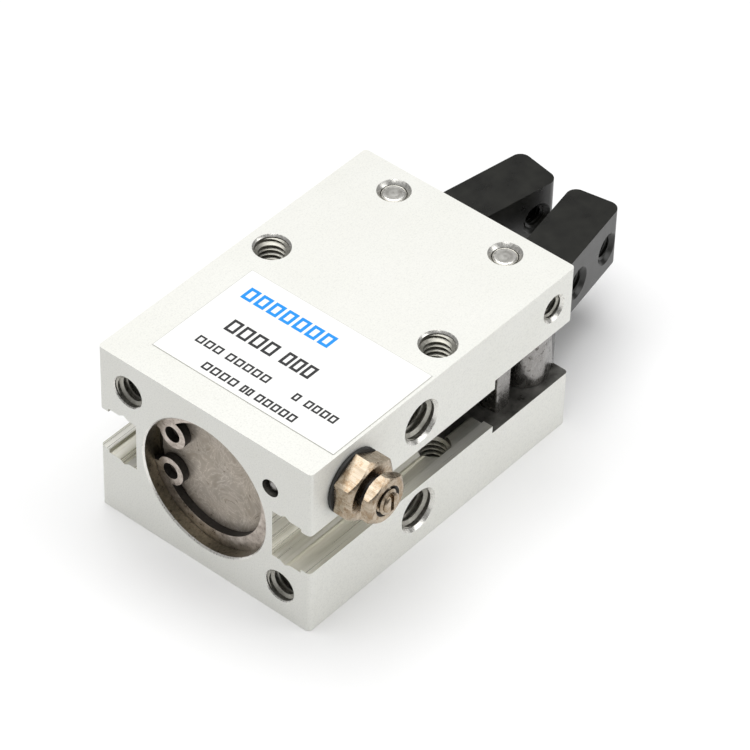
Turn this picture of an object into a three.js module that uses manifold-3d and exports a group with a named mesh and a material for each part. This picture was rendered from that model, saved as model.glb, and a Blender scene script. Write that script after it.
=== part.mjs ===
// Pneumatic angular gripper, 16 mm bore, double acting, with two fingers that swing on vertical shafts.
// Millimetres. +X points out of the finger end, +Z out of the labelled face, and the air ports face -Y.
// The origin is the middle of the bottom face.
// The fingers are drawn closed, with the piston at the bore end.
import * as THREE from 'three'
import { mergeVertices } from 'three/addons/utils/BufferGeometryUtils.js'
import Module from 'manifold-3d'

const wasm = await Module()
wasm.setup()

// ---- driving dimensions -------------------------------------------------------------------------
const LENGTH = 44.6
const WIDTH = 30.6
const HEIGHT = 23.6
const BACK = -LENGTH / 2
const FRONT = LENGTH / 2
const SIDE = WIDTH / 2
const MID = HEIGHT / 2
const RUNNING_GAP = 0.05
const BORE_SEGMENTS = 48

// Metric threads: each hole is drawn at the outer diameter of its thread, with a countersunk mouth.
const M3 = 1.5
const M4 = 2.0
const M5 = 2.5

const BORE = { r: 8, end: -2 }
const MOUTH = { r: 8.85, end: -17.2, chamfer: 0.2 }
const RING_GROOVE = { r: 9.3, from: -20.75, to: -19.65 }
const PORT = { x: -4, rise: 6.7, mouth: 2.875, depth: 4.5 }
const NEEDLE = { x: -15.65, rise: 6.6, root: 1.2, end: 5.7 }
const PASSAGE = { y: -9.6, rise: 6.4, r: 0.9, mouth: 1.14, seat: -19.4 }
const PLUG_BALL = { r: 1.1, x: -20.85 }
const GROOVE = { z: MID - 0.1, mouth: 2.85, shelf: 3.3, vee: 3.7, bottom: 9.9 }
const TOP_SCREW = { x: 2.4, y: 12, mouth: 2.25 }
const END_SCREW = { y: 11, rise: 7.5, depth: 8, mouth: 2.125 }

const SLOT = { low: 7.8, high: 15.8, from: 8.7, pocketFrom: 3.3, pocketSide: 12 }
const ROD = { r: 3, shoulder: -9.25, end: 6 }
const TONGUE = { thick: 2, half: 1.8 }
const PIN = { x: 12.5, r: 0.9 }
const ROLLER = { r: 1.75, height: 2.65 }

const PIVOT = { x: FRONT - 3.5, y: 8.1, r: 1.52, mouth: 2.02 }
const SET_SCREW = { rise: 7.85, length: 3, mouth: 1.85 }
const FINGER = { half: 3.25, tip: 22.5, low: 7.85, high: 15.75, closed: THREE.MathUtils.degToRad(10) }
const FINGER_HOLES = { fromTip: [3.1, 10.1], z: MID - 0.45, mouth: 2.1 }
const LAP = { low: 10.65, high: 12.95 }

// ---- finishes -----------------------------------------------------------------------------------
const FINISH = {
  anodised: { color: 0xdcdcd8, roughness: 0.55, metalness: 0.6 },
  blackOxide: { color: 0x3a3936, roughness: 0.45, metalness: 0.7 },
  groundSteel: { color: 0xb4b4b2, roughness: 0.25, metalness: 1 },
  darkSteel: { color: 0x4a4a4a, roughness: 0.45, metalness: 0.8 },
  turnedAluminium: { color: 0xb9b4ab, roughness: 0.35, metalness: 0.9 },
  nickelBrass: { color: 0xd1bfa0, roughness: 0.3, metalness: 0.95 },
  rubber: { color: 0x1c1c1c, roughness: 0.8, metalness: 0 },
  magnet: { color: 0x55504a, roughness: 0.6, metalness: 0.3 },
  plastic: { color: 0xe6e2d6, roughness: 0.5, metalness: 0 },
  label: { color: 0xfbfbf7, roughness: 0.5, metalness: 0 },
}

// ---- solids -------------------------------------------------------------------------------------
const X = new THREE.Vector3(1, 0, 0)
const Y = new THREE.Vector3(0, 1, 0)
const Z = new THREE.Vector3(0, 0, 1)
const at = (x, y, z) => new THREE.Vector3(x, y, z)
const rad = THREE.MathUtils.degToRad

function toSolid(geometry) {
  const bare = geometry.clone()
  bare.deleteAttribute('normal')
  bare.deleteAttribute('uv')
  const merged = mergeVertices(bare, 1e-5)
  const index = merged.index.array
  const triangles = []
  for (let i = 0; i < index.length; i += 3) {
    const [a, b, c] = [index[i], index[i + 1], index[i + 2]]
    if (a !== b && b !== c && c !== a) triangles.push(a, b, c)
  }
  return new wasm.Manifold(new wasm.Mesh({
    numProp: 3,
    vertProperties: new Float32Array(merged.attributes.position.array),
    triVerts: new Uint32Array(triangles),
  }))
}

function toGeometry(solid) {
  const mesh = solid.getMesh()
  const geometry = new THREE.BufferGeometry()
  geometry.setAttribute('position', new THREE.BufferAttribute(mesh.vertProperties, 3))
  geometry.setIndex(new THREE.BufferAttribute(mesh.triVerts, 1))
  geometry.computeVertexNormals()
  return geometry
}

const joined = (...shapes) => toGeometry(shapes.map(toSolid).reduce((a, b) => a.add(b)))
const common = (a, b) => toGeometry(toSolid(a).intersect(toSolid(b)))

function cut(shape, tools) {
  const result = tools.map(toSolid).reduce((solid, tool) => solid.subtract(tool), toSolid(shape))
  return toGeometry(result)
}

function box(x0, x1, y0, y1, z0, z1) {
  const geometry = new THREE.BoxGeometry(x1 - x0, y1 - y0, z1 - z0)
  return geometry.translate((x0 + x1) / 2, (y0 + y1) / 2, (z0 + z1) / 2)
}

// A turned solid about +Z. The profile is a list of [radius, height], counter-clockwise.
function turned(profile, segments = 28) {
  const points = profile.map(([r, h]) => new THREE.Vector2(r, h))
  return new THREE.LatheGeometry(points, segments).rotateX(Math.PI / 2)
}

const rod = (r, h0, h1, segments) => turned([[0, h0], [r, h0], [r, h1], [0, h1]], segments)

function ring(inner, outer, h0, h1, segments) {
  return turned([[inner, h0], [outer, h0], [outer, h1], [inner, h1], [inner, h0]], segments)
}

// A rubber ring whose six-sided section fills the given radii and heights.
function sealRing(inner, outer, h0, h1, segments) {
  const inset = (outer - inner) * 0.27
  const middle = (h0 + h1) / 2
  return turned([
    [inner + inset, h0], [outer - inset, h0], [outer, middle],
    [outer - inset, h1], [inner + inset, h1], [inner, middle], [inner + inset, h0],
  ], segments)
}

// Turns a shape drawn about +Z so that its axis points along `direction` and its zero height is at `point`.
function aim(geometry, point, direction) {
  const turn = new THREE.Quaternion().setFromUnitVectors(Z, direction)
  return geometry.applyQuaternion(turn).translate(point.x, point.y, point.z)
}

const alongX = (geometry) => aim(geometry, at(0, 0, MID), X)

// A drilled hole: its mouth is at zero height and it runs down -Z to a pointed end.
function drill(r, mouth, depth, segments = 28) {
  return turned([
    [0, -depth - r * 0.6], [r, -depth], [r, r - mouth], [mouth, 0], [mouth, 1], [0, 1],
  ], segments)
}

function plate(shape, z0, z1, curveSegments = 8) {
  const options = { depth: z1 - z0, bevelEnabled: false, curveSegments }
  return new THREE.ExtrudeGeometry(shape, options).translate(0, 0, z0)
}

// Extrudes a shape drawn in (y, z) along X.
function bar(shape, x0, x1, curveSegments = 8) {
  const turn = new THREE.Matrix4().makeBasis(Y, Z, X)
  return plate(shape, x0, x1, curveSegments).applyMatrix4(turn)
}

const polygon = (points) => new THREE.Shape(points.map(([x, y]) => new THREE.Vector2(x, y)))

function roundedRectangle(halfX, halfY, r) {
  const shape = new THREE.Shape()
  shape.moveTo(-halfX + r, -halfY)
  shape.lineTo(halfX - r, -halfY)
  shape.absarc(halfX - r, -halfY + r, r, -Math.PI / 2, 0, false)
  shape.lineTo(halfX, halfY - r)
  shape.absarc(halfX - r, halfY - r, r, 0, Math.PI / 2, false)
  shape.lineTo(-halfX + r, halfY)
  shape.absarc(-halfX + r, halfY - r, r, Math.PI / 2, Math.PI, false)
  shape.lineTo(-halfX, -halfY + r)
  shape.absarc(-halfX + r, -halfY + r, r, Math.PI, 1.5 * Math.PI, false)
  return shape
}

// A six-sided bar about +Z with two of its flats facing +X and -X.
function hexagon(acrossFlats, h0, h1) {
  const r = acrossFlats / Math.sqrt(3)
  const corners = [...Array(6).keys()].map((k) => rad(30 + 60 * k))
  return plate(polygon(corners.map((a) => [r * Math.cos(a), r * Math.sin(a)])), h0, h1)
}

// ---- body ---------------------------------------------------------------------------------------
// The sensor groove along a side, with its narrower mouth and a shallow vee in each shelf.
function sensorGroove(side) {
  const { z, mouth, shelf, vee, bottom } = GROOVE
  const half = [
    [SIDE + 1, mouth], [14, mouth], [14, shelf], [12.4, shelf], [11.75, vee], [11.1, shelf], [bottom, shelf],
  ]
  const upper = half.map(([y, rise]) => [side * y, z + rise])
  const lower = half.map(([y, rise]) => [side * y, z - rise]).reverse()
  return bar(polygon([...upper, ...lower]), BACK - 1, SLOT.from + 0.3)
}

function boreCut() {
  return alongX(turned([
    [0, BACK - 1], [MOUTH.r + MOUTH.chamfer + 1, BACK - 1], [MOUTH.r, BACK + MOUTH.chamfer],
    [MOUTH.r, RING_GROOVE.from], [RING_GROOVE.r, RING_GROOVE.from],
    [RING_GROOVE.r, RING_GROOVE.to], [MOUTH.r, RING_GROOVE.to],
    [MOUTH.r, MOUTH.end], [BORE.r, MOUTH.end], [BORE.r, BORE.end], [ROD.r + RUNNING_GAP, BORE.end],
    [ROD.r + RUNNING_GAP, 0.6], [4.6, 0.6], [4.6, SLOT.pocketFrom + 1], [0, SLOT.pocketFrom + 1],
  ], BORE_SEGMENTS))
}

function airCuts() {
  const upper = at(PORT.x, -SIDE, MID + PORT.rise)
  const lower = at(PORT.x, -SIDE, MID - PORT.rise)
  const valve = at(NEEDLE.x, -SIDE, MID + NEEDLE.rise)
  const out = Y.clone().negate()
  const passage = turned([
    [0, BACK - 1], [PASSAGE.mouth, BACK - 1], [PASSAGE.mouth, PASSAGE.seat],
    [PASSAGE.r, PASSAGE.seat + 0.2], [PASSAGE.r, PORT.x], [0, PORT.x],
  ], 20)
  const valveHole = turned([
    [0, -12], [0.7, -12], [0.7, -6.7], [1.3, -6.7], [1.3, -4.5], [M5, -4.5], [M5, 1], [0, 1],
  ])
  return [
    aim(drill(M5, PORT.mouth, PORT.depth, 32), upper, out),
    aim(drill(M5, PORT.mouth, PORT.depth, 32), lower, out),
    aim(rod(1, -6.3, -3, 16), upper, out),
    aim(rod(1, -11.6, -3, 16), lower, out),
    aim(valveHole, valve, out),
    aim(passage, at(0, PASSAGE.y, MID + PASSAGE.rise), X),
  ]
}

function fingerSlot() {
  return [
    box(SLOT.from, FRONT + 1, -SIDE - 1, SIDE + 1, SLOT.low, SLOT.high),
    box(SLOT.pocketFrom, SLOT.from + 1, -SLOT.pocketSide, SLOT.pocketSide, SLOT.low, SLOT.high),
  ]
}

function screwCuts(side) {
  const down = Z.clone().negate()
  const backward = X.clone().negate()
  const out = at(0, side, 0)
  const topHole = drill(M4, TOP_SCREW.mouth, MID + 1)
  const endHole = drill(M4, END_SCREW.mouth, END_SCREW.depth)
  const shaftHole = drill(PIVOT.r + RUNNING_GAP, PIVOT.mouth, HEIGHT - 2)
  const setScrewHole = drill(M3, SET_SCREW.mouth, SIDE - PIVOT.y - 1)
  return [
    aim(topHole.clone(), at(TOP_SCREW.x, side * TOP_SCREW.y, HEIGHT), Z),
    aim(topHole.clone(), at(TOP_SCREW.x, side * TOP_SCREW.y, 0), down),
    aim(endHole, at(BACK, side * END_SCREW.y, MID + side * END_SCREW.rise), backward),
    aim(shaftHole, at(PIVOT.x, side * PIVOT.y, HEIGHT), Z),
    aim(setScrewHole, at(PIVOT.x, side * SIDE, MID + SET_SCREW.rise), out),
  ]
}

function bodyBlock() {
  const block = plate(roundedRectangle(LENGTH / 2, WIDTH / 2, 0.5), 0, HEIGHT, 3)
  const cuts = [boreCut(), ...airCuts(), ...fingerSlot()]
  for (const side of [-1, 1]) cuts.push(sensorGroove(side), ...screwCuts(side))
  return cut(block, cuts)
}

// ---- bore end -----------------------------------------------------------------------------------
// An open spring ring; its two lugs carry plier holes and point in at the +Y side of the bore.
function retainingRing() {
  const lift = rad(3.5)
  const lugAngles = [lift + rad(25), lift - rad(25)]
  const band = new THREE.Shape()
  band.absarc(0, MID, 9.1, lift + rad(17), lift + rad(343), false)
  band.absarc(0.35, MID, 7.25, lift + rad(341), lift + rad(19), true)
  const lug = (angle, r) => {
    const disc = new THREE.Shape()
    disc.absarc(6.8 * Math.cos(angle), MID + 6.8 * Math.sin(angle), r, 0, 2 * Math.PI, false)
    return disc
  }
  const [from, to] = [-20.7, -19.7]
  const blank = joined(bar(band, from, to, 30), ...lugAngles.map((a) => bar(lug(a, 1.85), from, to, 20)))
  return cut(blank, lugAngles.map((a) => bar(lug(a, 1.05), from - 1, to + 1, 16)))
}

function endPlate() {
  return alongX(turned([
    [0, -19.6], [8.45, -19.6], [8.75, -19.3], [8.75, -19], [7.7, -19], [7.7, -17.9], [8.75, -17.9],
    [8.75, -17.25], [0, -17.25],
  ], BORE_SEGMENTS))
}

function plugBall() {
  const ball = new THREE.SphereGeometry(PLUG_BALL.r, 16, 10)
  return ball.translate(PLUG_BALL.x, PASSAGE.y, MID + PASSAGE.rise)
}

// ---- piston group -------------------------------------------------------------------------------
function piston() {
  return alongX(turned([
    [3.4, -16.9], [7, -16.9], [7, -16.2], [5, -16.2], [5, -13.7], [7, -13.7], [7, -13],
    [7.9, -13], [7.9, -12.5], [6.3, -12.5], [6.3, -11.1], [7.9, -11.1], [7.9, -10.7],
    [7.2, -10.7], [7.2, -9.8], [7.9, -9.8], [7.9, -9.3], [1.55, -9.3],
    [1.55, -14.7], [3.4, -14.7], [3.4, -16.9],
  ], 32))
}

function pistonRod() {
  const shank = alongX(turned([
    [0, -16.8], [1.35, -16.8], [1.5, -16.65], [1.5, ROD.shoulder], [ROD.r, ROD.shoulder],
    [ROD.r, ROD.end - 0.4], [ROD.r - 0.4, ROD.end], [0, ROD.end],
  ], 28))
  const outline = new THREE.Shape()
  outline.moveTo(ROD.end - 1, -TONGUE.half)
  outline.lineTo(PIN.x, -TONGUE.half)
  outline.absarc(PIN.x, 0, TONGUE.half, -Math.PI / 2, Math.PI / 2, false)
  outline.lineTo(ROD.end - 1, TONGUE.half)
  const tongue = plate(outline, MID - TONGUE.thick / 2, MID + TONGUE.thick / 2, 10)
  const pinHole = rod(PIN.r + 0.03, 0, HEIGHT, 20).translate(PIN.x, 0, 0)
  return cut(joined(shank, tongue), [pinHole])
}

function pistonNut() {
  const nut = common(hexagon(5.5, -16.7, -14.85), rod(3.1, -17, -14, 24))
  return cut(alongX(nut), [alongX(rod(M3 + RUNNING_GAP, -18, -13, 24))])
}

function roller(z0) {
  return ring(PIN.r + RUNNING_GAP, ROLLER.r, z0, z0 + ROLLER.height, 24).translate(PIN.x, 0, 0)
}

function centrePin() {
  const [low, high] = [FINGER.low + 0.1, FINGER.high - 0.1]
  const pin = turned([
    [0, low], [0.75, low], [PIN.r, low + 0.15], [PIN.r, high - 0.15], [0.75, high], [0, high],
  ], 20)
  return pin.translate(PIN.x, 0, 0)
}

// ---- fingers ------------------------------------------------------------------------------------
// The finger is drawn about its pivot: u runs out along the arm and v away from the middle of the gripper.
function fingerOutline(side) {
  const { half, tip } = FINGER
  const r = 1.3
  const hub = { u: -0.5, v: 3.3, r: 2.85 }
  const inner = 4.4
  const shape = new THREE.Shape()
  shape.moveTo(Math.sqrt(inner ** 2 - half ** 2), -half)
  shape.lineTo(tip - r, -half)
  shape.absarc(tip - r, -half + r, r, -Math.PI / 2, 0, false)
  shape.lineTo(tip, half - r)
  shape.absarc(tip - r, half - r, r, 0, Math.PI / 2, false)
  shape.lineTo(6.8, half)
  shape.bezierCurveTo(4.6, half, 4.2, 5.9, 0.6, 5.94)
  shape.absarc(hub.u, hub.v, hub.r, rad(67.5), rad(190), false)
  shape.bezierCurveTo(-3.6, 1.4, -4.6, 1.6, -5, 2.9)
  shape.lineTo(-5.75, 4.42)
  shape.quadraticCurveTo(-5.85, 4.52, -6, 4.5)
  shape.lineTo(-7.85, 4.17)
  shape.quadraticCurveTo(-8.12, 4.1, -8.1, 3.8)
  shape.lineTo(-7.95, -0.76)
  shape.lineTo(-4.33, -0.76)
  shape.absarc(0, 0, inner, rad(190), rad(312.4), false)
  return mirrored(shape, side, 6)
}

// The fork tail is half as thick as the finger, so that the two tails pass one over the other.
function tailOutline(side) {
  const reach = 11.3
  const heel = -7.95
  const end = -9.9
  const heelEdge = -Math.sqrt(reach ** 2 - heel ** 2)
  const endEdge = -Math.sqrt(reach ** 2 - end ** 2)
  const shape = new THREE.Shape()
  shape.moveTo(heel, 0.5)
  shape.lineTo(heel, heelEdge)
  shape.absarc(0, 0, reach, Math.atan2(heelEdge, heel), Math.atan2(end, endEdge), false)
  shape.lineTo(-1.65, end)
  shape.lineTo(-1.2, -4)
  shape.lineTo(-1, 0.5)
  return mirrored(shape, side, 3)
}

// The roller runs in a straight slot that is open at the end of the tail.
function rollerSlot(side) {
  const open = new THREE.Vector2(-4.85, -9.07)
  const closed = new THREE.Vector2(-4.3, -6.9)
  const along = open.clone().sub(closed).normalize()
  const across = new THREE.Vector2(-along.y, along.x)
  const half = ROLLER.r + 0.22
  const mouth = closed.clone().addScaledVector(along, 7)
  const start = Math.atan2(-across.y, -across.x)
  const shape = new THREE.Shape()
  shape.moveTo(mouth.x + across.x * half, mouth.y + across.y * half)
  shape.lineTo(closed.x + across.x * half, closed.y + across.y * half)
  shape.absarc(closed.x, closed.y, half, start - Math.PI, start, false)
  shape.lineTo(mouth.x - across.x * half, mouth.y - across.y * half)
  return mirrored(shape, side, 10)
}

function mirrored(shape, side, divisions) {
  const points = shape.getPoints(divisions)
  const distinct = points.filter((p, i) => p.distanceTo(points[(i + 1) % points.length]) > 0.01)
  return polygon(distinct.map((p) => [p.x, side * p.y]))
}

function finger(side) {
  const [tailLow, tailHigh] = side < 0 ? [LAP.high, FINGER.high] : [FINGER.low, LAP.low]
  const blank = joined(
    plate(fingerOutline(side), FINGER.low, FINGER.high),
    plate(tailOutline(side), tailLow, tailHigh),
  )
  const cuts = [plate(rollerSlot(side), 0, HEIGHT), rod(PIVOT.r + 0.08, 0, HEIGHT, 28)]
  for (const back of FINGER_HOLES.fromTip) {
    for (const face of [-1, 1]) {
      const mouth = at(FINGER.tip - back, face * FINGER.half, FINGER_HOLES.z)
      cuts.push(aim(drill(M3, FINGER_HOLES.mouth, FINGER.half, 24), mouth, at(0, face, 0)))
    }
  }
  return cut(blank, cuts).rotateZ(-side * FINGER.closed).translate(PIVOT.x, side * PIVOT.y, 0)
}

function leverShaft(side) {
  const [low, high] = [2.2, HEIGHT - 0.3]
  const chamfer = 0.2
  const shaft = turned([
    [0, low], [PIVOT.r - chamfer, low], [PIVOT.r, low + chamfer], [PIVOT.r, high - chamfer],
    [PIVOT.r - chamfer, high], [0, high],
  ], 28)
  return shaft.translate(PIVOT.x, side * PIVOT.y, 0)
}

function setScrew(side) {
  const r = M3 - RUNNING_GAP
  const length = SET_SCREW.length
  const screw = turned([
    [0, 0], [r - 0.5, 0], [r, 0.5], [r, length - 0.2], [r - 0.2, length], [0, length],
  ], 24)
  const socket = hexagon(1.5, length - 1.4, length + 1)
  const inner = PIVOT.y + PIVOT.r + 0.1
  return aim(cut(screw, [socket]), at(PIVOT.x, side * inner, MID + SET_SCREW.rise), at(0, side, 0))
}

// ---- speed control needle -----------------------------------------------------------------------
// Heights here are measured outward from the -Y face of the body.
function onNeedleAxis(geometry) {
  return aim(geometry, at(NEEDLE.x, -SIDE, MID + NEEDLE.rise), Y.clone().negate())
}

function chamferedHexagon(acrossFlats, h0, h1, chamferLow, chamferHigh) {
  const corner = acrossFlats / Math.sqrt(3)
  const drop = (corner - acrossFlats / 2) * 1.35
  const r0 = chamferLow ? corner - drop : corner + 1
  const r1 = chamferHigh ? corner - drop : corner + 1
  const bevel = drop * 0.75
  const envelope = [[0, h0], [r0, h0]]
  if (chamferLow) envelope.push([corner + 0.01, h0 + bevel])
  if (chamferHigh) envelope.push([corner + 0.01, h1 - bevel])
  envelope.push([r1, h1], [0, h1])
  return common(hexagon(acrossFlats, h0, h1), turned(envelope, 36))
}

function needleBody() {
  const hex = chamferedHexagon(7, 0.5, 2.9, false, true)
  const stem = turned([
    [0, -4.4], [M5 - 0.5, -4.4], [M5 - RUNNING_GAP, -3.95], [M5 - RUNNING_GAP, -0.4],
    [2.1, 0], [2.1, 0.6], [0, 0.6],
  ])
  const collar = rod(2, 2.8, 3.4, 28)
  const bore = turned([
    [0, -6], [1.2, -6], [1.2, -2], [M3 + RUNNING_GAP, -2], [M3 + RUNNING_GAP, 5], [0, 5],
  ], 24)
  return onNeedleAxis(cut(joined(hex, stem, collar), [bore]))
}

// The screw is drawn at the outer diameter of its thread inside the needle body and at its root beyond.
function needleScrew() {
  const { root, end } = NEEDLE
  const screw = turned([
    [0, -7.6], [0.3, -7.6], [1.1, -5], [1.1, -3.65], [0.75, -3.65], [0.75, -2.85], [1.1, -2.85],
    [1.1, -1.9], [M3, -1.6], [M3, 1.6], [root, 1.9], [root, end - 0.15], [root - 0.15, end], [0, end],
  ], 24)
  return onNeedleAxis(cut(screw, [box(-0.25, 0.25, -2, 2, end - 0.6, end + 1)]))
}

function lockNut() {
  const [low, high] = [3.5, 5]
  const [r, mouth] = [M3 + RUNNING_GAP, 1.9]
  const hole = turned([
    [0, low - 1], [mouth + 1, low - 1], [r, low + mouth - r], [r, high - mouth + r],
    [mouth + 1, high + 1], [0, high + 1],
  ], 24)
  return onNeedleAxis(cut(chamferedHexagon(5.5, low, high, true, true), [hole]))
}

// ---- assembly -----------------------------------------------------------------------------------
const group = new THREE.Group()
group.name = 'pneumatic_gripper'

function add(name, geometry, finish) {
  const mesh = new THREE.Mesh(toGeometry(toSolid(geometry)), new THREE.MeshStandardMaterial(FINISH[finish]))
  mesh.name = name
  group.add(mesh)
}

add('body_block', bodyBlock(), 'anodised')
add('rating_label', box(-18.3, -2, -14.9, 11, HEIGHT + 0.02, HEIGHT + 0.1), 'label')
add('retaining_ring', retainingRing(), 'darkSteel')
add('end_plate', endPlate(), 'turnedAluminium')
add('end_plate_seal', alongX(sealRing(7.8, 8.7, -18.95, -17.95, 28)), 'rubber')
add('passage_plug_ball', plugBall(), 'groundSteel')

add('piston', piston(), 'turnedAluminium')
add('piston_seal', alongX(sealRing(6.4, 7.95, -12.4, -11.2, 28)), 'rubber')
add('piston_wear_ring', alongX(ring(7.25, 7.95, -10.65, -9.85, 32)), 'plastic')
add('piston_magnet', alongX(ring(5.05, 6.95, -16.15, -13.75, 28)), 'magnet')
add('piston_rod', pistonRod(), 'groundSteel')
add('piston_nut', pistonNut(), 'darkSteel')
add('front_bumper', alongX(ring(3.6, 6.5, -3, BORE.end - RUNNING_GAP, 28)), 'rubber')
add('rod_seal', alongX(sealRing(3.08, 4.55, 0.65, 2.2, 28)), 'rubber')
add('rod_seal_retainer', alongX(ring(3.2, 4.55, 2.3, 3.2, 28)), 'groundSteel')
add('centre_pin', centrePin(), 'groundSteel')
add('roller_upper', roller(FINGER.high - 0.1 - ROLLER.height), 'groundSteel')
add('roller_lower', roller(FINGER.low + 0.1), 'groundSteel')

for (const [name, side] of [['right', -1], ['left', 1]]) {
  add(`finger_${name}`, finger(side), 'blackOxide')
  add(`lever_shaft_${name}`, leverShaft(side), 'groundSteel')
  add(`shaft_set_screw_${name}`, setScrew(side), 'darkSteel')
}

add('needle_body', needleBody(), 'nickelBrass')
add('needle_gasket', onNeedleAxis(ring(2.2, 4, 0.05, 0.45, 32)), 'rubber')
add('needle_screw', needleScrew(), 'nickelBrass')
add('needle_oring', onNeedleAxis(sealRing(0.8, 1.17, -3.6, -2.9, 20)), 'rubber')
add('needle_lock_nut', lockNut(), 'nickelBrass')

export default group
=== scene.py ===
# Pneumatic angular gripper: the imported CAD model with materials, threads, printing, light and a camera.
# Lengths below are in millimetres unless a name says otherwise, and mm() turns them into metres.
import math

import bpy
from mathutils import Matrix, Vector


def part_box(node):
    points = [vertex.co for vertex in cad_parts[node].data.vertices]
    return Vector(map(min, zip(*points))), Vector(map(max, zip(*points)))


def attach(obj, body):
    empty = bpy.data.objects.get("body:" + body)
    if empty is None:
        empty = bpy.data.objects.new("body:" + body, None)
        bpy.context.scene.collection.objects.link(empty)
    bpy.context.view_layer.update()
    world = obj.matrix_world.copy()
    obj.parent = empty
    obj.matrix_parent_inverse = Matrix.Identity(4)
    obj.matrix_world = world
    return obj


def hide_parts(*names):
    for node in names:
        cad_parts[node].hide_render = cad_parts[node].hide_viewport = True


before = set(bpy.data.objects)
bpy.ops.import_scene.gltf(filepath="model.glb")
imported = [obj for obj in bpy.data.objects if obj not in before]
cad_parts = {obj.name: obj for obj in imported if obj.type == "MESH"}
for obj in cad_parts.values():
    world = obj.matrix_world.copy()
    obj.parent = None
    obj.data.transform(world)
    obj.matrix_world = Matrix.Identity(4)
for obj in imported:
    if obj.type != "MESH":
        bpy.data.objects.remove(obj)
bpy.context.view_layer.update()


def mm(*values):
    """Millimetres to metres: a number for one value, a vector for three."""
    scaled = [v * 0.001 for v in values]
    return scaled[0] if len(scaled) == 1 else Vector(scaled)


# ---- dimensions ---------------------------------------------------------------------------------
BODY_LOW, BODY_HIGH = (corner * 1000 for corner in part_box("body_block"))
BACK, FRONT = BODY_LOW.x, BODY_HIGH.x
SIDE = BODY_HIGH.y
HEIGHT = BODY_HIGH.z
MID = HEIGHT / 2
PIN_X = (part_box("lever_shaft_left")[0].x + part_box("lever_shaft_left")[1].x) * 500
PIN_Y = (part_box("lever_shaft_left")[0].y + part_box("lever_shaft_left")[1].y) * 500
NEEDLE_X = (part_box("needle_screw")[0].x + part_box("needle_screw")[1].x) * 500
NEEDLE_Z = (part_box("needle_screw")[0].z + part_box("needle_screw")[1].z) * 500

# Metric threads: outer radius and pitch.
M3 = (1.5, 0.5)
M4 = (2.0, 0.7)
M5 = (2.5, 0.8)

PORT_X, PORT_RISE = -4.0, 6.7
TOP_SCREW_X, TOP_SCREW_Y = 2.4, 12.0
END_SCREW_Y, END_SCREW_RISE = 11.0, 7.5
SET_SCREW_RISE = 7.85
GROOVE = {"inner": 9.9, "low": 7.95, "high": 15.45, "end": 8.75}
SLOT = {"low": 7.8, "high": 15.8, "from": 3.25}
FINGER_CLOSED = math.radians(10)
FINGER_TIP = 22.5
FINGER_HOLES_FROM_TIP = (3.1, 10.1)
FINGER_HOLE_Z = MID - 0.45


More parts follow.
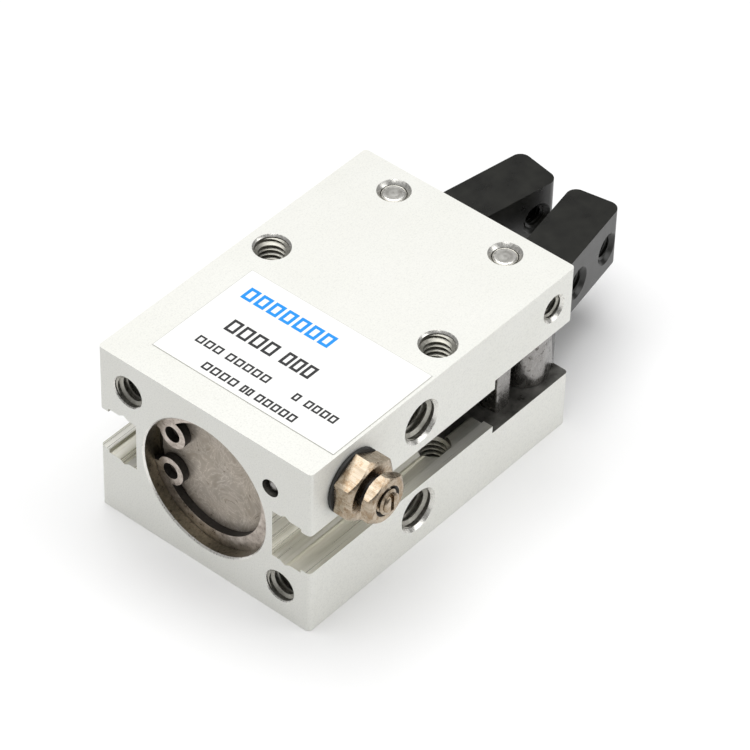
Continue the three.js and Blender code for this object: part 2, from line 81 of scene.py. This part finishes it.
# ---- materials ----------------------------------------------------------------------------------
class Surface:
    """A procedural material under construction, with its coordinates in the row frame."""

    def __init__(self, name, color, metallic, roughness):
        self.material = bpy.data.materials.new(name)
        self.material.use_nodes = True
        self.nodes = self.material.node_tree.nodes
        self.links = self.material.node_tree.links
        self.shader = self.nodes["Principled BSDF"]
        self.shader.inputs["Base Color"].default_value = (*color, 1)
        self.shader.inputs["Metallic"].default_value = metallic
        self.shader.inputs["Roughness"].default_value = roughness
        self.place = self.nodes.new("ShaderNodeTexCoord").outputs["Object"]
        self.last_normal = None

    def stretched(self, scale, centre=(0, 0, 0), turn=(0, 0, 0)):
        """Coordinates from a centre in millimetres, turned, then scaled per metre along each axis."""
        shift = self.nodes.new("ShaderNodeMapping")
        shift.vector_type = "POINT"
        shift.inputs["Location"].default_value = -mm(*centre)
        self.links.new(self.place, shift.inputs["Vector"])
        spread = self.nodes.new("ShaderNodeMapping")
        spread.inputs["Rotation"].default_value = turn
        spread.inputs["Scale"].default_value = scale
        self.links.new(shift.outputs["Vector"], spread.inputs["Vector"])
        return spread.outputs["Vector"]

    def noise(self, scale, detail=4, roughness=0.6, distortion=0.0, centre=(0, 0, 0), turn=(0, 0, 0)):
        """Noise with `scale` cells per metre, either one number or one for each axis."""
        axes = scale if isinstance(scale, tuple) else (scale, scale, scale)
        texture = self.nodes.new("ShaderNodeTexNoise")
        texture.inputs["Scale"].default_value = 1
        texture.inputs["Detail"].default_value = detail
        texture.inputs["Roughness"].default_value = roughness
        texture.inputs["Distortion"].default_value = distortion
        self.links.new(self.stretched(axes, centre, turn), texture.inputs["Vector"])
        return texture.outputs["Fac"]

    def rings(self, per_metre, centre, axis, distortion=1.0):
        """Turning marks: rings about an axis through the centre."""
        texture = self.nodes.new("ShaderNodeTexWave")
        texture.wave_type = "RINGS"
        texture.rings_direction = axis
        texture.inputs["Scale"].default_value = 1
        texture.inputs["Distortion"].default_value = distortion
        texture.inputs["Detail"].default_value = 3
        texture.inputs["Detail Scale"].default_value = 2
        self.links.new(self.stretched((per_metre,) * 3, centre), texture.inputs["Vector"])
        return texture.outputs["Fac"]

    def ramp(self, fac, stops):
        """Maps a value to the colours at the stops, [(position, colour), ...]."""
        ramp = self.nodes.new("ShaderNodeValToRGB")
        while len(ramp.color_ramp.elements) < len(stops):
            ramp.color_ramp.elements.new(0.5)
        for element, (position, color) in zip(ramp.color_ramp.elements, stops):
            element.position = position
            element.color = (*color, 1)
        self.links.new(fac, ramp.inputs["Fac"])
        return ramp.outputs["Color"]

    def span(self, fac, low, high, to_low, to_high):
        """Maps low..high to to_low..to_high."""
        node = self.nodes.new("ShaderNodeMapRange")
        node.inputs["From Min"].default_value = low
        node.inputs["From Max"].default_value = high
        node.inputs["To Min"].default_value = to_low
        node.inputs["To Max"].default_value = to_high
        self.links.new(fac, node.inputs["Value"])
        return node.outputs["Result"]

    def mix(self, a, b, blend="MULTIPLY", amount=1.0):
        node = self.nodes.new("ShaderNodeMix")
        node.data_type = "RGBA"
        node.blend_type = blend
        node.inputs["Factor"].default_value = amount
        self.links.new(a, node.inputs["A"])
        self.links.new(b, node.inputs["B"])
        return node.outputs["Result"]

    def color(self, output):
        self.links.new(output, self.shader.inputs["Base Color"])
        return self

    def roughness(self, output):
        self.links.new(output, self.shader.inputs["Roughness"])
        return self

    def bump(self, height, strength, depth):
        """Adds a bump whose full height is `depth` millimetres."""
        node = self.nodes.new("ShaderNodeBump")
        node.inputs["Strength"].default_value = strength
        node.inputs["Distance"].default_value = mm(depth)
        self.links.new(height, node.inputs["Height"])
        if self.last_normal is not None:
            self.links.new(self.last_normal, node.inputs["Normal"])
        self.last_normal = node.outputs["Normal"]
        self.links.new(self.last_normal, self.shader.inputs["Normal"])
        return self


def anodised_skin():
    s = Surface("anodised_skin", (0.82, 0.83, 0.77), 0.3, 0.5)
    speck = s.noise(5200, detail=3, roughness=0.75)
    cloud = s.noise(90, detail=3)
    dull, plain, bright = (0.74, 0.74, 0.70), (0.825, 0.825, 0.785), (0.87, 0.87, 0.82)
    grain = s.ramp(speck, [(0.30, dull), (0.46, plain), (0.7, bright)])
    tone = s.ramp(cloud, [(0.3, (0.97, 0.97, 0.96)), (0.7, (1, 1, 1))])
    s.color(s.mix(grain, tone))
    s.roughness(s.span(speck, 0.3, 0.7, 0.56, 0.44))
    s.bump(speck, 0.3, 0.01)
    return s.material


def extruded_groove():
    """The drawn inside of a groove, with lines along its length."""
    s = Surface("extruded_groove", (0.78, 0.77, 0.72), 0.7, 0.3)
    lines = s.noise((16, 2600, 2600), detail=5, roughness=0.7)
    bands = s.noise((6, 620, 620), detail=2)
    dark, plain, bright = (0.58, 0.57, 0.51), (0.80, 0.79, 0.73), (0.90, 0.89, 0.84)
    fine = s.ramp(lines, [(0.3, dark), (0.44, plain), (0.68, bright)])
    tone = s.ramp(bands, [(0.35, (0.84, 0.83, 0.78)), (0.6, (1, 1, 1))])
    s.color(s.mix(fine, tone))
    s.roughness(s.span(lines, 0.3, 0.7, 0.22, 0.42))
    s.bump(lines, 0.4, 0.02)
    return s.material


def machined(name, dark, light, roughness=0.32, metallic=0.9):
    """A drilled, bored or cut surface: fine marks of the tool and a slightly uneven tone."""
    s = Surface(name, light, metallic, roughness)
    marks = s.noise(2600, detail=5, roughness=0.7)
    s.color(s.ramp(marks, [(0.3, dark), (0.68, light)]))
    s.roughness(s.span(marks, 0.3, 0.7, roughness - 0.08, roughness + 0.12))
    s.bump(marks, 0.3, 0.01)
    return s.material


def milled_slot_painted_shade():
    # The colour is painted near-black as shade in the deep slot, with a random cloudy tone; the rings are
    # milling marks in the bump.
    s = Surface("milled_slot_painted_shade", (0.14, 0.135, 0.125), 0.6, 0.34)
    arcs = s.rings(900, (40, 0, MID), "Z", distortion=0.6)
    cloud = s.noise(600, detail=4)
    s.color(s.ramp(cloud, [(0.3, (0.06, 0.058, 0.052)), (0.7, (0.2, 0.196, 0.182))]))
    s.roughness(s.span(cloud, 0.3, 0.7, 0.26, 0.42))
    s.bump(arcs, 0.2, 0.008)
    return s.material


def scuffed_plate():
    """The face of the end plate: dull turned aluminium covered in fine curling scuffs."""
    s = Surface("end_plate_face", (0.44, 0.39, 0.34), 0.4, 0.34)
    curls = s.noise(210, detail=3, roughness=0.55, distortion=6.0)
    stain = s.noise(150, detail=3, centre=(3, 5, 7))
    patches = s.noise(260, detail=2, centre=(8, 2, 1))
    dark, plain, bright = (0.39, 0.34, 0.285), (0.455, 0.405, 0.35), (0.64, 0.59, 0.53)
    marks = s.ramp(curls, [(0.3, dark), (0.475, plain), (0.5, bright), (0.525, plain), (0.7, dark)])
    bare = s.ramp(patches, [(0.4, (0.95, 0.95, 0.95)), (0.62, (1.12, 1.12, 1.12))])
    tone = s.ramp(stain, [(0.35, (0.86, 0.84, 0.80)), (0.62, (1, 1, 1))])
    s.color(s.mix(s.mix(marks, tone), bare))
    s.roughness(s.span(curls, 0.3, 0.7, 0.27, 0.44))
    s.bump(curls, 0.25, 0.01)
    return s.material


def turned_face(name, centre, axis, dark, light, per_metre, roughness=0.3):
    """A lathe-turned face: rings about its axis."""
    s = Surface(name, light, 0.92, roughness)
    ring = s.rings(per_metre, centre, axis, distortion=0.5)
    smear = s.noise(700, detail=4, roughness=0.7)
    marks = s.ramp(ring, [(0.1, dark), (0.9, light)])
    tone = s.ramp(smear, [(0.3, (0.86, 0.85, 0.84)), (0.6, (1, 1, 1))])
    s.color(s.mix(marks, tone))
    s.roughness(s.span(smear, 0.3, 0.7, roughness - 0.06, roughness + 0.1))
    s.bump(ring, 0.3, 0.01)
    return s.material


def ground_steel():
    s = Surface("ground_steel", (0.3, 0.29, 0.28), 1.0, 0.34)
    fine = s.noise((1800, 1800, 900), detail=4)
    stain = s.noise(1100, detail=5, roughness=0.8)
    base = s.ramp(fine, [(0.3, (0.24, 0.23, 0.22)), (0.7, (0.36, 0.35, 0.34))])
    spots = s.ramp(stain, [(0.36, (0.30, 0.28, 0.27)), (0.45, (1, 1, 1))])
    s.color(s.mix(base, spots))
    s.roughness(s.span(fine, 0.3, 0.7, 0.18, 0.34))
    s.bump(fine, 0.2, 0.006)
    return s.material


def black_oxide():
    """Blackened steel: nearly black, with a glossy skin that mirrors the room at a low angle."""
    s = Surface("black_oxide", (0.008, 0.008, 0.006), 0, 0.28)
    s.shader.inputs["IOR"].default_value = 1.5
    cloud = s.noise(420, detail=4)
    grain = s.noise(3800, detail=3)
    s.color(s.ramp(cloud, [(0.3, (0.006, 0.006, 0.005)), (0.7, (0.012, 0.012, 0.009))]))
    s.roughness(s.span(cloud, 0.3, 0.7, 0.26, 0.34))
    s.bump(grain, 0.15, 0.004)
    return s.material


def dark_steel():
    s = Surface("dark_steel", (0.16, 0.15, 0.14), 0.9, 0.36)
    cloud = s.noise(1500, detail=5, roughness=0.7)
    s.color(s.ramp(cloud, [(0.3, (0.07, 0.065, 0.06)), (0.7, (0.2, 0.19, 0.175))]))
    s.roughness(s.span(cloud, 0.3, 0.7, 0.28, 0.46))
    s.bump(cloud, 0.25, 0.012)
    return s.material


def spring_steel():
    s = Surface("spring_steel", (0.5, 0.45, 0.41), 0.95, 0.3)
    cloud = s.noise(1100, detail=5, roughness=0.75)
    dark, plain, bright = (0.26, 0.22, 0.19), (0.50, 0.44, 0.39), (0.74, 0.68, 0.62)
    s.color(s.ramp(cloud, [(0.3, dark), (0.5, plain), (0.72, bright)]))
    s.roughness(s.span(cloud, 0.3, 0.7, 0.24, 0.42))
    s.bump(cloud, 0.3, 0.012)
    return s.material


def nickel_brass():
    s = Surface("nickel_brass", (0.5, 0.43, 0.33), 1.0, 0.26)
    turned = s.noise((2600, 220, 2600), detail=4)
    wear = s.noise(900, detail=4, roughness=0.7)
    base = s.ramp(turned, [(0.3, (0.34, 0.275, 0.20)), (0.7, (0.56, 0.48, 0.38))])
    tone = s.ramp(wear, [(0.38, (0.66, 0.57, 0.47)), (0.55, (1, 1, 1))])
    s.color(s.mix(base, tone))
    s.roughness(s.span(wear, 0.3, 0.7, 0.2, 0.34))
    s.bump(turned, 0.15, 0.006)
    return s.material


def rubber():
    s = Surface("black_rubber", (0.02, 0.02, 0.02), 0, 0.6)
    grain = s.noise(3000, detail=3)
    s.color(s.ramp(grain, [(0.3, (0.012, 0.012, 0.012)), (0.7, (0.03, 0.03, 0.028))]))
    s.roughness(s.span(grain, 0.3, 0.7, 0.5, 0.72))
    s.bump(grain, 0.2, 0.01)
    return s.material


def moulded(name, dark, light, roughness):
    s = Surface(name, light, 0, roughness)
    grain = s.noise(1800, detail=4)
    s.color(s.ramp(grain, [(0.3, dark), (0.7, light)]))
    s.roughness(s.span(grain, 0.3, 0.7, roughness - 0.08, roughness + 0.08))
    s.bump(grain, 0.2, 0.008)
    return s.material


SKIN = anodised_skin()
GROOVE_WALL = extruded_groove()
BORE_WALL = machined("bored_wall", (0.12, 0.105, 0.075), (0.26, 0.23, 0.17))
HOLE_WALL = machined("drilled_wall", (0.12, 0.115, 0.10), (0.32, 0.31, 0.28), 0.4)
MOUTH_CUT = machined("bright_countersink", (0.62, 0.61, 0.57), (0.82, 0.81, 0.77), 0.26)
SLOT_WALL = milled_slot_painted_shade()
THREAD_CUT = machined("cut_thread", (0.32, 0.31, 0.27), (0.52, 0.51, 0.46), 0.36)
BORE_RIM = machined("bore_rim", (0.88, 0.86, 0.81), (0.92, 0.90, 0.86), 0.3)
PLATE = scuffed_plate()
TURNED = turned_face("turned_piston", (0, 0, MID), "X", (0.5, 0.48, 0.45), (0.66, 0.63, 0.6), 900)
GROUND = ground_steel()
BLACKED = black_oxide()
DARK = dark_steel()
# Near-black painted shade for gaps and holes where shade falls: the retaining ring's edge walls, the
# needle collar and the lock nut's thread.
SHADE_BLACK = machined("painted_shade_black", (0.012, 0.010, 0.008), (0.04, 0.035, 0.03), 0.45, 0.4)
SPRING = spring_steel()
NICKEL = nickel_brass()
RUBBER = rubber()
MAGNET = moulded("bonded_magnet", (0.10, 0.09, 0.08), (0.16, 0.145, 0.13), 0.5)
NYLON = moulded("wear_ring_plastic", (0.72, 0.70, 0.64), (0.8, 0.78, 0.73), 0.45)


# ---- CAD nodes: materials and softened edges ------------------------------------------------------
SHARP_EDGE = math.radians(32)
FLAT_FACES = math.radians(0.6)


def soften(node, width):
    """Rounds the sharp edges of a CAD node to width, with smooth shading between them."""
    for polygon in node.data.polygons:
        polygon.use_smooth = True
    weld = node.modifiers.new("weld", "WELD")
    weld.merge_threshold = mm(0.002)
    flats = node.modifiers.new("merge_flats", "DECIMATE")
    flats.decimate_type = "DISSOLVE"
    flats.angle_limit = FLAT_FACES
    flats.delimit = {"MATERIAL"}
    bevel = node.modifiers.new("edge_break", "BEVEL")
    bevel.width = mm(width)
    bevel.segments = 3
    bevel.limit_method = "ANGLE"
    bevel.angle_limit = SHARP_EDGE
    bevel.miter_outer = "MITER_ARC"
    flatten = node.modifiers.new("flat_faces", "WEIGHTED_NORMAL")
    flatten.weight = 100
    return bevel


def paint(node, materials, region):
    """Gives every face of a node the material that region(centre in millimetres, normal) names."""
    names = list(materials)
    node.data.materials.clear()
    for name in names:
        node.data.materials.append(materials[name])
    for polygon in node.data.polygons:
        centre = Vector(polygon.center) * 1000
        polygon.material_index = names.index(region(centre, polygon.normal))


def dress(name, material, width=None):
    """Gives a whole CAD node one material, and softens its edges if a width is given."""
    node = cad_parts[name]
    node.data.materials.clear()
    node.data.materials.append(material)
    if width:
        soften(node, width)
    return node


def within(value, low, high):
    return low <= value <= high


def near_axis(point, axis_point, direction, r):
    """True if a point is within r of the line through axis_point along direction."""
    offset = point - Vector(axis_point)
    return (offset - direction * offset.dot(direction)).length < r


def hole_list():
    """Every drilled hole as its axis point, direction, thread radius and mouth radius."""
    x, y, z = Vector((1, 0, 0)), Vector((0, 1, 0)), Vector((0, 0, 1))
    holes = [
        ((PORT_X, 0, MID + PORT_RISE), y, M5[0], 2.875),
        ((PORT_X, 0, MID - PORT_RISE), y, M5[0], 2.875),
        ((NEEDLE_X, 0, NEEDLE_Z), y, M5[0], M5[0]),
        ((0, -9.6, MID + 6.4), x, 1.14, 1.14),
    ]
    for side in (-1, 1):
        holes.append(((TOP_SCREW_X, side * TOP_SCREW_Y, 0), z, M4[0], 2.25))
        holes.append(((0, side * END_SCREW_Y, MID + side * END_SCREW_RISE), x, M4[0], 2.125))
        holes.append(((PIN_X, side * PIN_Y, 0), z, 1.57, 2.02))
        holes.append(((PIN_X, 0, MID + SET_SCREW_RISE), y, M3[0], 1.85))
    return holes


BODY_MATERIALS = {
    "skin": SKIN, "groove": GROOVE_WALL, "bore": BORE_WALL, "rim": BORE_RIM,
    "hole": HOLE_WALL, "mouth": MOUTH_CUT, "slot": SLOT_WALL,
}


def on_outside(point):
    if abs(abs(point.x) - FRONT) < 0.01 or abs(abs(point.y) - SIDE) < 0.01:
        return True
    return abs(point.z) < 0.01 or abs(point.z - HEIGHT) < 0.01


def in_groove(point):
    beside = point.x < GROOVE["end"] and abs(point.y) > GROOVE["inner"] - 0.1
    return beside and within(point.z, GROOVE["low"], GROOVE["high"])


def body_region(point, normal, holes):
    """Names the machined region that a face of the body belongs to."""
    if on_outside(point):
        return "skin"
    for centre, direction, r, mouth in holes:
        across = abs(normal.dot(direction))
        if across < 0.2 and near_axis(point, centre, direction, r + 0.02):
            return "hole"
        if 0.5 < across < 0.9 and near_axis(point, centre, direction, mouth + 0.02):
            return "mouth"
    if math.hypot(point.y, point.z - MID) < 9.35 and point.x < -1.9:
        return "rim" if point.x < BACK + 0.22 else "bore"
    if in_groove(point):
        return "groove"
    if point.x > SLOT["from"] and within(point.z, SLOT["low"] - 0.05, SLOT["high"] + 0.05):
        return "slot"
    corner = abs(abs(point.x) - FRONT) < 0.5 and abs(abs(point.y) - SIDE) < 0.5
    return "skin" if corner else "hole"


def dress_body():
    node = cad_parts["body_block"]
    holes = hole_list()
    paint(node, BODY_MATERIALS, lambda point, normal: body_region(point, normal, holes))
    soften(node, 0.1)


def dress_ring():
    """The stamped faces of the retaining ring are worn bright; its sheared edge walls are painted
    near-black as shade in the gap against the end plate.
    """
    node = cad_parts["retaining_ring"]
    materials = {"face": SPRING, "edge": SHADE_BLACK}
    paint(node, materials, lambda point, normal: "face" if abs(normal.x) > 0.5 else "edge")
    soften(node, 0.08).material = list(materials).index("face")


def dress_finger(name):
    """A blackened finger whose hub and heel, inside the body, are ground bright on their edges."""
    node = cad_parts[name]

    def region(point, normal):
        return "ground" if point.x < FRONT - 1 and abs(normal.z) < 0.3 else "black"

    paint(node, {"black": BLACKED, "ground": GROUND}, region)
    soften(node, 0.25)


COLLAR_HEIGHT = 0.5
LOCK_NUT_MOUTH = 1.9


def dress_needle_body():
    """The nickelled hexagon, with the wall of the low collar around its hole painted near-black as shade
    in the gap between the hexagon and the lock nut.
    """
    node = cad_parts["needle_body"]
    collar_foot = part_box("needle_body")[0].y * 1000 + COLLAR_HEIGHT

    def region(point, normal):
        return "collar" if point.y < collar_foot - 0.02 and abs(normal.y) < 0.5 else "nickel"

    paint(node, {"nickel": NICKEL, "collar": SHADE_BLACK}, region)
    soften(node, 0.03)


def dress_lock_nut():
    """The nickelled lock nut, with its threaded hole painted near-black as shade."""
    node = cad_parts["needle_lock_nut"]
    centre, out = (NEEDLE_X, 0, NEEDLE_Z), Vector((0, -1, 0))

    def region(point, normal):
        in_hole = near_axis(point, centre, out, LOCK_NUT_MOUTH + 0.05) and abs(normal.y) < 0.9
        return "thread" if in_hole else "nickel"

    paint(node, {"nickel": NICKEL, "thread": SHADE_BLACK}, region)
    soften(node, 0.03)


def dress_shafts():
    for side, word in ((-1, "right"), (1, "left")):
        axis = (PIN_X, side * PIN_Y, 0)
        face = turned_face(f"shaft_end_{word}", axis, "Z", (0.62, 0.61, 0.57), (0.76, 0.75, 0.71), 420)
        dress(f"lever_shaft_{word}", face, 0.15)
        dress(f"shaft_set_screw_{word}", DARK, 0.06)


RUBBER_PARTS = (
    "end_plate_seal", "piston_seal", "rod_seal", "front_bumper", "needle_gasket", "needle_oring",
)
GROUND_PARTS = ("piston_rod", "rod_seal_retainer", "centre_pin", "roller_upper", "roller_lower")


def dress_nodes():
    dress_body()
    dress_ring()
    dress_needle_body()
    dress_lock_nut()
    dress_shafts()
    dress_finger("finger_right")
    dress_finger("finger_left")
    dress("end_plate", PLATE, 0.1)
    dress("piston", TURNED, 0.08)
    dress("piston_magnet", MAGNET, 0.08)
    dress("piston_wear_ring", NYLON, 0.05)
    dress("piston_nut", DARK, 0.08)
    for name in RUBBER_PARTS:
        dress(name, RUBBER, 0.06)
    for name in GROUND_PARTS:
        dress(name, GROUND, 0.08)
    dress("needle_screw", NICKEL, 0.03)
    for polygon in dress("passage_plug_ball", GROUND).data.polygons:
        polygon.use_smooth = True


# ---- pieces -------------------------------------------------------------------------------------
def piece(name, verts, faces, material, body, slot, smooth_angle=None):
    """A mesh piece in millimetres that rides on a body."""
    mesh = bpy.data.meshes.new(name)
    mesh.from_pydata([mm(*v) for v in verts], [], faces)
    mesh.materials.append(material)
    if smooth_angle is not None:
        for polygon in mesh.polygons:
            polygon.use_smooth = True
        mesh.set_sharp_from_angle(angle=math.radians(smooth_angle))
    obj = bpy.data.objects.new(name, mesh)
    bpy.context.scene.collection.objects.link(obj)
    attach(obj, body)
    return obj


def thread(name, size, base, direction, length, material, body, slot, outside=False):
    """A helical thread ridge on the wall of a hole, or on a stem if `outside`.

    Its ends fade into the wall.
    """
    r, pitch = size
    steps = 36
    fade = steps / 3
    depth = 0.56 * pitch
    sign = 1 if outside else -1
    wall = r - depth - 0.03 if outside else r + 0.03
    turn = Vector((0, 0, 1)).rotation_difference(Vector(direction)).to_matrix()
    count = round(length / pitch * steps)
    verts, faces = [], []
    for i in range(count + 1):
        angle = 2 * math.pi * i / steps
        rise = min(1, i / fade, (count - i) / fade)
        crest = wall + sign * (depth + 0.03) * rise
        section = [(wall, -0.46), (crest, -0.1 * rise), (crest, 0.1 * rise), (wall, 0.46)]
        for radius, along in section:
            height = pitch * (i / steps + along * rise)
            local = Vector((radius * math.cos(angle), radius * math.sin(angle), height))
            verts.append(Vector(base) + turn @ local)
        if i:
            a, b = 4 * (i - 1), 4 * i
            for k in range(4):
                quad = (a + k, b + k, b + (k + 1) % 4, a + (k + 1) % 4)
                faces.append(quad if outside else quad[::-1])
    return piece(name, verts, faces, material, body, slot, smooth_angle=40)


def body_threads():
    def cut(name, size, start, direction, length):
        thread(f"thread_{name}", size, start, direction, length, THREAD_CUT, "body", "anodised_body")

    for side, word in ((-1, "right"), (1, "left")):
        x, y = TOP_SCREW_X, side * TOP_SCREW_Y
        cut(f"top_{word}", M4, (x, y, 15.3), (0, 0, 1), HEIGHT - 15.3 - 0.45)
        cut(f"bottom_{word}", M4, (x, y, 0.45), (0, 0, 1), 7.4)
        end = (BACK + 7.6, side * END_SCREW_Y, MID + side * END_SCREW_RISE)
        cut(f"end_{word}", M4, end, (-1, 0, 0), 7.3)
        lock = (PIN_X, side * 13.0, MID + SET_SCREW_RISE)
        cut(f"lock_{word}", M3, lock, (0, side, 0), SIDE - 13.0 - 0.4)
    for rise, word in ((PORT_RISE, "upper"), (-PORT_RISE, "lower")):
        cut(f"port_{word}", M5, (PORT_X, -SIDE + 4.3, MID + rise), (0, -1, 0), 3.8)


def finger_threads():
    for side, word in ((-1, "right"), (1, "left")):
        turn = Matrix.Rotation(-side * FINGER_CLOSED, 3, "Z")
        for number, back in enumerate(FINGER_HOLES_FROM_TIP):
            local = Vector((FINGER_TIP - back, -2.8, 0))
            start = turn @ local + Vector((PIN_X, side * PIN_Y, FINGER_HOLE_Z))
            along = turn @ Vector((0, 1, 0))
            name = f"thread_finger_{word}_{number}"
            thread(name, M3, start, along, 5.6, BLACKED, f"{word}_finger", "black_oxide")


def needle_thread():
    start = (NEEDLE_X, -SIDE - 2.9, NEEDLE_Z)
    thread("thread_needle", M3, start, (0, -1, 0), 2.6, NICKEL, "needle", "nickel_brass", outside=True)


# ---- label ----------------------------------------------------------------------------------------
def slab(x0, x1, y0, y1, z0, z1):
    """Vertices and faces of a block."""
    corners = [(x0, y0), (x0, y1), (x1, y1), (x1, y0)]
    verts = [(x, y, z0) for x, y in corners] + [(x, y, z1) for x, y in corners]
    faces = [(0, 1, 2, 3), (7, 6, 5, 4), (0, 4, 5, 1), (1, 5, 6, 2), (2, 6, 7, 3), (3, 7, 4, 0)]
    return verts, faces


def open_frame(x0, x1, y0, y1, z0, z1, stroke):
    """Vertices and faces of a rectangular frame with a hole through it."""
    outer = [(x0, y0), (x0, y1), (x1, y1), (x1, y0)]
    inner = [
        (x0 + stroke, y0 + stroke), (x0 + stroke, y1 - stroke),
        (x1 - stroke, y1 - stroke), (x1 - stroke, y0 + stroke),
    ]
    verts = [(x, y, z) for z in (z0, z1) for x, y in outer + inner]
    faces = []
    for k in range(4):
        n = (k + 1) % 4
        faces += [(k, n, n + 4, k + 4), (k + 8, k + 12, n + 12, n + 8)]
        faces += [(k, k + 8, n + 8, n), (k + 4, n + 4, n + 12, k + 12)]
    return verts, faces


def print_and_shade(name, color):
    s = Surface(name, color, 0, 0.45)
    grain = s.noise(2500, detail=3)
    s.color(s.ramp(grain, [(0.3, tuple(c * 0.9 for c in color)), (0.7, color)]))
    s.roughness(s.span(grain, 0.3, 0.7, 0.4, 0.52))
    return s.material


def label():
    low, high = (corner * 1000 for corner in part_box("rating_label"))
    paper = moulded("label_film", (0.90, 0.90, 0.88), (0.93, 0.93, 0.91), 0.42)
    # The grey outline round the sheet is a painted shadow at the film's edge.
    edge = print_and_shade("label_outline_shadow", (0.6, 0.6, 0.56))
    top = high.z - 0.02
    rim = 0.07
    outline = slab(low.x, high.x, low.y, high.y, low.z, top - 0.01)
    sheet = slab(low.x + rim, high.x - rim, low.y + rim, high.y - rim, low.z, top)
    base = piece("label_edge_shadow", *outline, edge, "body", "label")
    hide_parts("rating_label")
    piece("label_sheet", *sheet, paper, "body", "label")
    return low, high, top


def greeking(low, high, top):
    """Plain frames where a label has its printing, in the same lines and groups."""
    blue = print_and_shade("label_blue", (0.0, 0.30, 0.90))
    black = print_and_shade("label_black", (0.02, 0.02, 0.022))
    # Line, ink, height above the low X edge, tall, stroke, and groups of (first, last, marks)
    # measured from the +Y edge.
    lines = [
        ("heading", blue, 12.05, 2.05, 0.42, [(1.95, 14.5, 7)]),
        ("second", black, 6.95, 2.05, 0.36, [(4.05, 10.8, 4), (11.95, 16.2, 3)]),
        ("third", black, 3.5, 1.15, 0.25, [(2.95, 6.5, 3), (7.3, 13.3, 5)]),
        ("rating", black, 3.5, 1.15, 0.25, [(16.8, 17.6, 1), (18.5, 22.8, 4)]),
        ("fourth", black, 0.75, 1.15, 0.25, [(6.3, 11.1, 4), (11.8, 13.3, 2), (13.9, 19.4, 5)]),
    ]
    for name, ink, rise, tall, stroke, groups in lines:
        verts, faces = [], []
        for first, last, count in groups:
            step = (last - first) / (count - 0.2)
            for i in range(count):
                y1 = high.y - first - i * step
                y0 = y1 - step * 0.8
                x0 = low.x + rise
                mark = open_frame(x0, x0 + tall, y0, y1, top, top + 0.012, stroke)
                faces += [tuple(v + len(verts) for v in face) for face in mark[1]]
                verts += mark[0]
        piece(f"label_{name}", verts, faces, ink, "body", "label")


# ---- stage, light and camera ----------------------------------------------------------------------
def stage():
    size = 4.0
    mesh = bpy.data.meshes.new("floor")
    corners = [(-size, -size, 0), (size, -size, 0), (size, size, 0), (-size, size, 0)]
    mesh.from_pydata(corners, [], [(0, 1, 2, 3)])
    floor = bpy.data.objects.new("floor", mesh)
    floor.location.z = mm(-0.02)
    s = Surface("studio_floor", (0.92, 0.92, 0.92), 0, 0.6)
    cloud = s.noise(3, detail=2)
    s.color(s.ramp(cloud, [(0.3, (0.91, 0.91, 0.91)), (0.7, (0.92, 0.92, 0.92))]))
    mesh.materials.append(s.material)
    bpy.context.scene.collection.objects.link(floor)


def area_light(name, location, target, width, height, watts, color=(1, 1, 1)):
    data = bpy.data.lights.new(name, "AREA")
    data.shape = "RECTANGLE"
    data.size, data.size_y = width, height
    data.energy = watts
    data.color = color
    light = bpy.data.objects.new(name, data)
    light.location = location
    light.rotation_euler = (Vector(target) - Vector(location)).to_track_quat("-Z", "Y").to_euler()
    bpy.context.scene.collection.objects.link(light)


def lights():
    world = bpy.data.worlds.new("studio")
    world.use_nodes = True
    background = world.node_tree.nodes["Background"]
    background.inputs["Color"].default_value = (1, 1, 1, 1)
    background.inputs["Strength"].default_value = 0.26
    bpy.context.scene.world = world
    centre = mm(0, 0, 12)
    area_light("overhead", (0.0, 0.05, 0.65), centre, 0.7, 0.7, 4.9)
    area_light("right_fill", (0.25, -0.5, 0.25), centre, 0.4, 0.3, 0.75)
    bpy.context.scene.view_settings.view_transform = "Standard"


CAMERA_PLACE = mm(-259.26, -217.04, 326.95)
CAMERA_AIM = mm(4.743, -1.412, 10.823)
CAMERA_ROLL = math.radians(1.687)
CAMERA_LENS_MM = 199.26


def camera():
    data = bpy.data.cameras.new("camera")
    data.lens = CAMERA_LENS_MM
    data.sensor_width = 36
    data.clip_start = 0.01
    data.clip_end = 20
    cam = bpy.data.objects.new("camera", data)
    level = (CAMERA_AIM - CAMERA_PLACE).to_track_quat("-Z", "Y").to_matrix()
    turn = level @ Matrix.Rotation(CAMERA_ROLL, 3, "Z")
    cam.matrix_world = Matrix.Translation(CAMERA_PLACE) @ turn.to_4x4()
    bpy.context.scene.collection.objects.link(cam)
    bpy.context.scene.camera = cam


dress_nodes()
body_threads()
finger_threads()
needle_thread()
greeking(*label())
stage()
lights()
camera()
